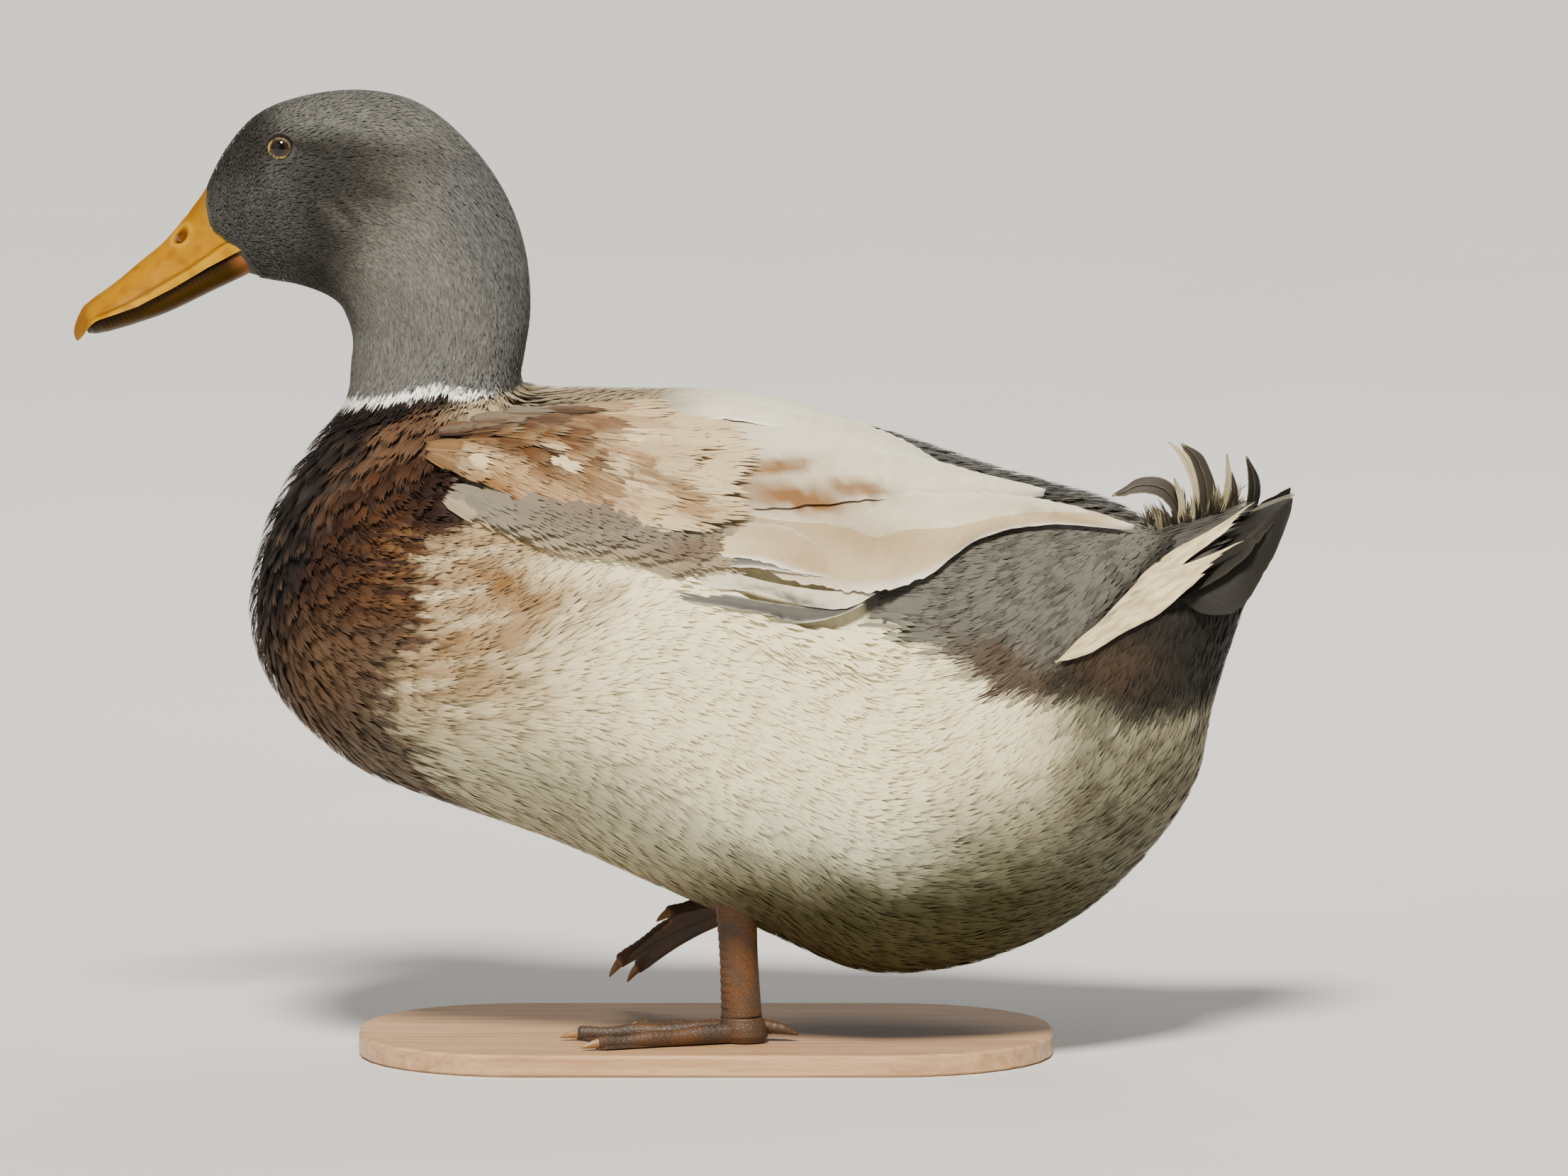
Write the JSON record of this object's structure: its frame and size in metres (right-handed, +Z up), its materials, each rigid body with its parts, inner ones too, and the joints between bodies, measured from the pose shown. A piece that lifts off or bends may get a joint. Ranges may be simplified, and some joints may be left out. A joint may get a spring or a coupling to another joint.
{
  "type": "saxony drake model",
  "caption": "Life-size still model of a heavy domestic drake in mid-step on one leg, on a plain flat oval base.",
  "frame": {"origin": "on the floor under the middle of the model's bounding box, at the underside of the base", "axes": "-X towards the tip of the bill, -Y towards the bird's left side, +Z up"},
  "size_m": [0.4382, 0.174, 0.3484],
  "materials": {
    "grey_plumage": "soft short feathers",
    "cream_plumage": "soft feathers",
    "wing_plumage": "smooth closed feathers",
    "tail_plumage": "smooth closed feathers",
    "bill_horn": "satin horn",
    "eye_brown": "wet gloss",
    "leg_skin": "scaled skin",
    "base_wood": "satin varnish"
  },
  "bodies": {
    "root": {"head": "grey_plumage", "neck": "grey_plumage", "torso": "cream_plumage", "tail": "tail_plumage", "wing_left": "wing_plumage", "wing_right": "wing_plumage", "bill_upper": "bill_horn", "bill_lower": "bill_horn", "eye_left": "eye_brown", "eye_right": "eye_brown", "leg_left": "leg_skin", "foot_left": "leg_skin", "leg_right": "leg_skin", "foot_right": "leg_skin", "stand_base": "base_wood"}
  },
  "joints": []
}
